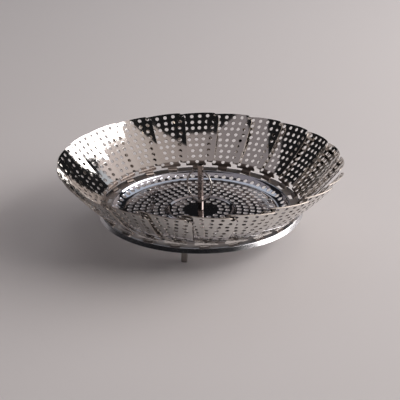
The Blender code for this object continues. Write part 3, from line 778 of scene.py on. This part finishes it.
def leg_mesh():
    """A channel with two flanges and a foot turned inwards, from its pivot."""
    half = LEG_WIDTH / 2
    ground = -LEG_PIVOT[1]

    def web_at(z):
        return LEG_WEB_OFFSET - z * tan(LEG_SPLAY)

    def raw(u, v):
        z = np.maximum(v, ground)
        depth = np.maximum(np.abs(u) - half, 0)
        y = web_at(z) - depth + np.minimum(v - ground, 0)
        return np.column_stack((np.clip(u, -half, half), y, z))

    top_u = half + web_at(LEG_FLANGE_TOP[1]) + LEG_FLANGE_TOP[0]
    foot_u = half + LEG_FLANGE_FOOT[0]
    foot_v = ground + LEG_FLANGE_FOOT[1]
    places = [(half, ground - FOOT_LENGTH), (half, foot_v), (foot_u, foot_v),
              (top_u, LEG_FLANGE_TOP[1]), (half, LEG_WEB_TOP)]
    side = [(*place, radius) for place, radius in zip(places, LEG_CORNERS)]
    mirrored = [(-x, y, radius) for x, y, radius in reversed(side)]
    outline = split_loop(rounded_loop(side + mirrored), STRIP_EDGE_STEP)
    guides = grid_points((-top_u, ground - FOOT_LENGTH), (top_u, LEG_WEB_TOP), LEG_MESH_PITCH)
    pins = [(side * (half + web_at(0)), 0) for side in (-1, 1)]
    blank = cut_blank(outline, pins, PIN_RADIUS + PIN_CLEARANCE, guides=guides)
    return press_sheet("leg_channel", blank, lambda u, v: folded(raw, u, v), LEG_SHEET, 0)


def bracket_mesh():
    """A riveted plate with two ears turned down beside the leg, from the leg's pivot."""
    half = BRACKET_HALF_WIDTH
    reach, drop = BRACKET_EAR

    def raw(u, v):
        depth = np.maximum(np.abs(u) - half, 0)
        return np.column_stack((np.clip(u, -half, half), v, BRACKET_TOP - depth))

    ear = half + BRACKET_TOP + drop
    ear_corner, fold_corner, plate_corner = BRACKET_CORNERS
    side = [(ear, -reach, ear_corner), (ear, reach, ear_corner), (half, reach, fold_corner),
            (half, BRACKET_OUTER, plate_corner)]
    mirrored = [(-x, y, radius) for x, y, radius in reversed(side)]
    outline = split_loop(rounded_loop(side + mirrored), STRIP_EDGE_STEP)
    guides = grid_points((-ear, -reach), (ear, BRACKET_OUTER), BRACKET_MESH_PITCH)
    pins = [(side * (half + BRACKET_TOP), 0) for side in (-1, 1)]
    rivet_hole = circle((0, RIVET_OFFSET), RIVET_RADIUS + PIN_CLEARANCE, RIVET_HOLE_SIDES)
    clear = guides[np.hypot(guides[:, 0], guides[:, 1] - RIVET_OFFSET) > RIVET_RADIUS + 2 * PIN_CLEARANCE]
    blank = cut_blank(outline, pins, PIN_RADIUS + PIN_CLEARANCE, [rivet_hole], guides=clear)
    return press_sheet("bracket_plate", blank, lambda u, v: folded(raw, u, v, False), 0, BRACKET_SHEET)


def dome(radius, height, seat, steps=8):
    """Half section of a domed head, from its edge to the axis."""
    angles = [i * pi / 2 / steps for i in range(steps + 1)]
    return [(radius * cos(angle), seat + height * sin(angle)) for angle in angles]


def headed_rod(name, radius, head, low_seat, high_seat):
    """A rod with a domed head at each end."""
    upper = dome(*head, high_seat)
    lower = [(r, low_seat - (z - high_seat)) for r, z in reversed(upper)]
    section = lower + [(radius, low_seat), (radius, high_seat)] + upper
    return turned(name, section, PIN_SIDES)


def build_legs(leg_materials, fastener_material):
    channel = leg_mesh()
    plate = bracket_mesh()
    seat = BRACKET_HALF_WIDTH + SEAT_GAP
    pin = headed_rod("pin_rod", PIN_RADIUS, PIN_HEAD, -seat, seat)
    low_seat = LEG_PIVOT[1] + BRACKET_TOP - BRACKET_SHEET - SEAT_GAP
    rivet = headed_rod("rivet_rod", RIVET_RADIUS, RIVET_HEAD, low_seat, STAND_HEIGHT + SEAT_GAP)
    for number in (1, 2, 3):
        spin = turned_about_z(LEG_PHASE + (number - 1) * TURN / 3)
        pivot = spin @ Matrix.Translation((0, *LEG_PIVOT))
        add_piece(f"leg_channel_{number}", channel, leg_materials, f"leg_{number}", f"leg_{number}",
                  pivot)
        add_piece(f"bracket_plate_{number}", plate, leg_materials, "base", f"leg_bracket_{number}",
                  pivot)
        add_piece(f"pin_rod_{number}", pin, [fastener_material], "base", f"leg_pin_{number}",
                  pivot @ Matrix.Rotation(pi / 2, 4, "Y"))
        add_piece(f"rivet_rod_{number}", rivet, [fastener_material], "base", f"leg_rivet_{number}",
                  spin @ Matrix.Translation((0, LEG_PIVOT[0] + RIVET_OFFSET, 0)))


# Materials

def new_material(name):
    material = bpy.data.materials.new(name)
    material.use_nodes = True
    return material


def parts_of(material):
    """A material's nodes, its links and its main shader."""
    tree = material.node_tree
    return tree.nodes, tree.links, tree.nodes["Principled BSDF"]


def noise(material, place, scale, detail):
    nodes, links, _ = parts_of(material)
    texture = nodes.new("ShaderNodeTexNoise")
    texture.inputs["Scale"].default_value = scale
    texture.inputs["Detail"].default_value = detail
    links.new(place.outputs["Object"], texture.inputs["Vector"])
    return texture.outputs["Fac"]


def bump(material, height, strength, distance):
    nodes, links, _ = parts_of(material)
    node = nodes.new("ShaderNodeBump")
    node.inputs["Strength"].default_value = strength
    node.inputs["Distance"].default_value = distance
    links.new(height, node.inputs["Height"])
    return node


def tone_ramp(nodes, stops):
    """A ramp through stops (position, colour with alpha)."""
    ramp = nodes.new("ShaderNodeValToRGB")
    elements = ramp.color_ramp.elements
    for index, (position, colour) in enumerate(stops):
        stop = elements[index] if index < 2 else elements.new(1)
        stop.position = position
        stop.color = colour
    return ramp


def steel(name):
    """Polished steel: faint handling marks in the gloss and a slightly uneven surface."""
    colour, roughness, wave = STEELS[name]
    material = new_material(name)
    nodes, links, shader = parts_of(material)
    shader.inputs["Metallic"].default_value = 1.0
    place = nodes.new("ShaderNodeTexCoord")

    clouds = noise(material, place, CLOUD_SCALE, CLOUD_DETAIL)
    gloss = nodes.new("ShaderNodeMapRange")
    gloss.inputs["From Min"].default_value = CLOUD_SPAN[0]
    gloss.inputs["From Max"].default_value = CLOUD_SPAN[1]
    gloss.inputs["To Min"].default_value = roughness * CLOUD_GLOSS[0]
    gloss.inputs["To Max"].default_value = roughness * CLOUD_GLOSS[1]
    links.new(clouds, gloss.inputs["Value"])
    links.new(gloss.outputs["Result"], shader.inputs["Roughness"])

    tint = nodes.new("ShaderNodeMix")
    tint.data_type = "RGBA"
    tint.inputs["A"].default_value = (*[c * CLOUD_TONE for c in colour], 1)
    tint.inputs["B"].default_value = (*colour, 1)
    links.new(clouds, tint.inputs["Factor"])
    links.new(tint.outputs["Result"], shader.inputs["Base Color"])

    uneven = bump(material, noise(material, place, WAVE_SCALE, WAVE_DETAIL), wave, WAVE_HEIGHT)
    grain = bump(material, noise(material, place, GRAIN_SCALE, GRAIN_DETAIL), GRAIN_STRENGTH,
                 GRAIN_HEIGHT)
    links.new(uneven.outputs["Normal"], grain.inputs["Normal"])
    links.new(grain.outputs["Normal"], shader.inputs["Normal"])
    return material


def paint_tab_shade(material):
    """Paint the tabs, below the blade's root in their own frame, with brown painted shade and leave them
    unpolished.
    """
    nodes, links, shader = parts_of(material)
    place = nodes.new("ShaderNodeTexCoord")
    split = nodes.new("ShaderNodeSeparateXYZ")
    links.new(place.outputs["Object"], split.inputs["Vector"])
    polished = nodes.new("ShaderNodeMapRange")
    polished.inputs["From Min"].default_value = TAB_TOP - TAB_FADE
    polished.inputs["From Max"].default_value = TAB_TOP
    links.new(split.outputs["Z"], polished.inputs["Value"])
    # the tabs' brown painted shade and their rougher finish
    for name, data_type, dull in (("Base Color", "RGBA", (*TAB_SHADE_COLOUR, 1)),
                                  ("Roughness", "FLOAT", TAB_ROUGHNESS)):
        mix = nodes.new("ShaderNodeMix")
        mix.data_type = data_type
        links.new(polished.outputs["Result"], mix.inputs["Factor"])
        mix.inputs["A"].default_value = dull
        links.new(shader.inputs[name].links[0].from_socket, mix.inputs["B"])
        links.new(mix.outputs["Result"], shader.inputs[name])


def paint_ring_light(material):
    """The tray's gloss and painted light by distance from its axis: painted shade on the floor, a painted
    cool reflection on the shoulder, painted brown shade on the dull brim, and painted shade that dims the
    skirt's highlight.
    """
    nodes, links, shader = parts_of(material)
    place = nodes.new("ShaderNodeTexCoord")
    level = nodes.new("ShaderNodeVectorMath")
    level.operation = "MULTIPLY"
    level.inputs[1].default_value = (1, 1, 0)
    links.new(place.outputs["Object"], level.inputs[0])
    radius = nodes.new("ShaderNodeVectorMath")
    radius.operation = "LENGTH"
    links.new(level.outputs["Vector"], radius.inputs[0])
    share = nodes.new("ShaderNodeMath")
    share.operation = "DIVIDE"
    share.inputs[1].default_value = SKIRT_FOOT[0]
    links.new(radius.outputs["Value"], share.inputs[0])
    ramp = tone_ramp(nodes, [(reach / SKIRT_FOOT[0], (*tone, gloss)) for reach, tone, gloss in RING_PAINTED_TONES])
    links.new(share.outputs["Value"], ramp.inputs["Fac"])
    tone = nodes.new("ShaderNodeMix")
    tone.data_type = "RGBA"
    tone.blend_type = "MULTIPLY"
    tone.inputs["Factor"].default_value = 1.0
    links.new(shader.inputs["Base Color"].links[0].from_socket, tone.inputs["A"])
    links.new(ramp.outputs["Color"], tone.inputs["B"])
    links.new(tone.outputs["Result"], shader.inputs["Base Color"])
    rough = nodes.new("ShaderNodeMath")
    rough.operation = "MULTIPLY"
    links.new(shader.inputs["Roughness"].links[0].from_socket, rough.inputs[0])
    links.new(ramp.outputs["Alpha"], rough.inputs[1])
    links.new(rough.outputs["Value"], shader.inputs["Roughness"])


# Studio

def build_camera():
    camera = new_object("camera", bpy.data.cameras.new("camera"))
    camera.data.sensor_width = SENSOR_WIDTH
    camera.data.lens = CAMERA_FOCAL_PIXELS / IMAGE_PIXELS * SENSOR_WIDTH
    middle = IMAGE_PIXELS / 2
    yaw = atan2(FLOOR_MIDDLE_PIXEL[0] - middle, CAMERA_FOCAL_PIXELS)
    lift = atan2(FLOOR_MIDDLE_PIXEL[1] - middle, CAMERA_FOCAL_PIXELS)
    away = CAMERA_DISTANCE * cos(CAMERA_ELEVATION)
    height = STAND_HEIGHT + CAMERA_DISTANCE * sin(CAMERA_ELEVATION)
    camera.matrix_world = (Matrix.Translation((0, -away, height))
                           @ Matrix.Rotation(yaw, 4, "Z")
                           @ Matrix.Rotation(pi / 2 - CAMERA_ELEVATION + lift, 4, "X")
                           @ Matrix.Rotation(CAMERA_ROLL, 4, "Z"))
    bpy.context.scene.camera = camera


def build_floor():
    mesh = bpy.data.meshes.new("floor")
    half = GROUND_HALF
    mesh.from_pydata([(-half, -half, 0), (half, -half, 0), (half, half, 0), (-half, half, 0)], [],
                     [(0, 1, 2, 3)])
    material = new_material("floor")
    shader = parts_of(material)[2]
    shader.inputs["Base Color"].default_value = (*GROUND_COLOUR, 1)
    shader.inputs["Roughness"].default_value = GROUND_ROUGHNESS
    mesh.materials.append(material)
    new_object("floor", mesh)


def add_softbox(name, corner, along_u, along_v, radiance, colour):
    """A rectangular lamp from one corner and its two sides; it shines against u cross v."""
    corner, along_u, along_v = Vector(corner), Vector(along_u), Vector(along_v)
    lamp = bpy.data.lights.new(name, "AREA")
    lamp.shape = "RECTANGLE"
    lamp.size = along_u.length
    lamp.size_y = along_v.length
    lamp.energy = radiance * pi * lamp.size * lamp.size_y
    lamp.color = colour
    obj = new_object(name, lamp)
    side, up = along_u.normalized(), along_v.normalized()
    turn = Matrix((side, up, side.cross(up))).transposed().to_4x4()
    obj.matrix_world = Matrix.Translation(corner + (along_u + along_v) / 2) @ turn
    return obj


def add_panel(name, corners, radiance, tones):
    """Flat emitters, four corners each, in one tone or in tones that run along X."""
    mesh = bpy.data.meshes.new(name)
    mesh.from_pydata(corners, [], [range(first, first + 4) for first in range(0, len(corners), 4)])
    material = new_material(name)
    nodes, links, shader = parts_of(material)
    shader.inputs["Base Color"].default_value = (0, 0, 0, 1)
    shader.inputs["Emission Color"].default_value = (*tones[0][1], 1)
    shader.inputs["Emission Strength"].default_value = radiance
    if len(tones) > 1:
        start, end = tones[0][0], tones[-1][0]
        place = nodes.new("ShaderNodeTexCoord")
        split = nodes.new("ShaderNodeSeparateXYZ")
        links.new(place.outputs["Object"], split.inputs["Vector"])
        span = nodes.new("ShaderNodeMapRange")
        span.inputs["From Min"].default_value = start * PANEL_HEIGHT
        span.inputs["From Max"].default_value = end * PANEL_HEIGHT
        links.new(split.outputs["X"], span.inputs["Value"])
        ramp = tone_ramp(nodes, [((reach - start) / (end - start), (*tone, 1)) for reach, tone in tones])
        links.new(span.outputs["Result"], ramp.inputs["Fac"])
        links.new(ramp.outputs["Color"], shader.inputs["Emission Color"])
    mesh.materials.append(material)
    new_object(name, mesh)


def build_lamps():
    """Dim reflectors overhead, a bright wall of light on the right and a fill for the floor."""
    height = PANEL_HEIGHT
    left, near = [place * height for place in OVERHEAD_LOW]
    right, far = [place * height for place in OVERHEAD_HIGH]
    gap_left, gap_near = [place * height for place in OVERHEAD_GAP_LOW]
    gap_right, gap_far = [place * height for place in OVERHEAD_GAP_HIGH]
    split = OVERHEAD_SPLIT * height
    corners = []
    for x0, x1, y0, y1 in ((left, gap_left, near, split), (gap_right, right, near, split),
                           (gap_left, gap_right, near, gap_near), (gap_left, gap_right, gap_far, split)):
        corners += [(x0, y0, height), (x1, y0, height), (x1, y1, height), (x0, y1, height)]
    add_panel("overhead_warm", corners, 1.0, OVERHEAD_WARM)
    cool_left = OVERHEAD_COOL_LOW * height
    add_softbox("overhead_cool", (cool_left, split, height), (right - cool_left, 0, 0),
                (0, far - split, 0), *OVERHEAD_COOL)

    along = Vector((sin(KEY_AZIMUTH), cos(KEY_AZIMUTH), 0)) * height
    across = Vector((cos(KEY_AZIMUTH), -sin(KEY_AZIMUTH), 0)) * height * KEY_DISTANCE
    foot, top = Vector((0, 0, KEY_FOOT * height)), Vector((0, 0, height))
    corners = [across + along * KEY_BOTTOM[0] + foot, across + along * KEY_BOTTOM[1] + foot,
               across + along * KEY_TOP[1] + top, across + along * KEY_TOP[0] + top]
    add_panel("key", [tuple(corner) for corner in corners], KEY_LIGHT[0], [(0, KEY_LIGHT[1])])

    fill = add_softbox("fill", FILL_CORNER, (FILL_SIZE[0], 0, 0), (0, FILL_SIZE[1], 0), *FILL_LIGHT)
    fill.visible_glossy = False


def build_world():
    """A dark studio whose walls are pale only near the horizon."""
    world = bpy.data.worlds.new("studio")
    bpy.context.scene.world = world
    world.use_nodes = True
    nodes, links = world.node_tree.nodes, world.node_tree.links
    place = nodes.new("ShaderNodeTexCoord")
    split = nodes.new("ShaderNodeSeparateXYZ")
    links.new(place.outputs["Generated"], split.inputs["Vector"])
    ramp = tone_ramp(nodes, [(height, (*tone, 1)) for height, tone in HORIZON])
    links.new(split.outputs["Z"], ramp.inputs["Fac"])
    background = nodes["Background"]
    links.new(ramp.outputs["Color"], background.inputs["Color"])
    background.inputs["Strength"].default_value = 1.0


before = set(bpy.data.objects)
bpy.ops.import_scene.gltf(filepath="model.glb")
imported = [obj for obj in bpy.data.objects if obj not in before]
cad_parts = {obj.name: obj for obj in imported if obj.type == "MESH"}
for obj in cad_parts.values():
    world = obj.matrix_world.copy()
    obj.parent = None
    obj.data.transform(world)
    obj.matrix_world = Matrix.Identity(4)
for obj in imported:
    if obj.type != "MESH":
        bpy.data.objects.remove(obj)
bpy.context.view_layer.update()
bpy.context.scene.view_settings.view_transform = "Standard"
build_camera()
build_floor()
build_world()
build_lamps()

petal_steel = steel("petal_inside")
# brown painted shade on the petals' tabs
paint_tab_shade(petal_steel)
petal_back = steel("petal_outside")
painted_tray_steel = steel("tray_polish_and_painted_light")
# painted shade and a painted cool reflection on the tray, by radius
paint_ring_light(painted_tray_steel)
# painted shade on the post
shaded_post_steel = steel("post_shaded_polish")
# painted shade on the ring's wire
shaded_wire_steel = steel("wire_shaded_polish")
# painted shade on the legs and their brackets
shaded_leg_steel = steel("leg_shaded_polish")
fastener_steel = steel("fastener_polish")
# painted shade on the walls of the punched holes and cut edges
shaded_cut_steel = steel("shaded_cut_edge")
# painted shade and a painted warm rim highlight on the outline's edge
painted_rim_steel = steel("painted_rim_edge")

build_petals([petal_steel, shaded_cut_steel, petal_back, painted_rim_steel])
add_piece("tray_sheet", tray_mesh(), [painted_tray_steel, shaded_cut_steel, painted_tray_steel, painted_tray_steel], "base",
          "base_tray")
build_post(shaded_post_steel, shaded_wire_steel, fastener_steel)
build_legs([shaded_leg_steel] * 4, fastener_steel)
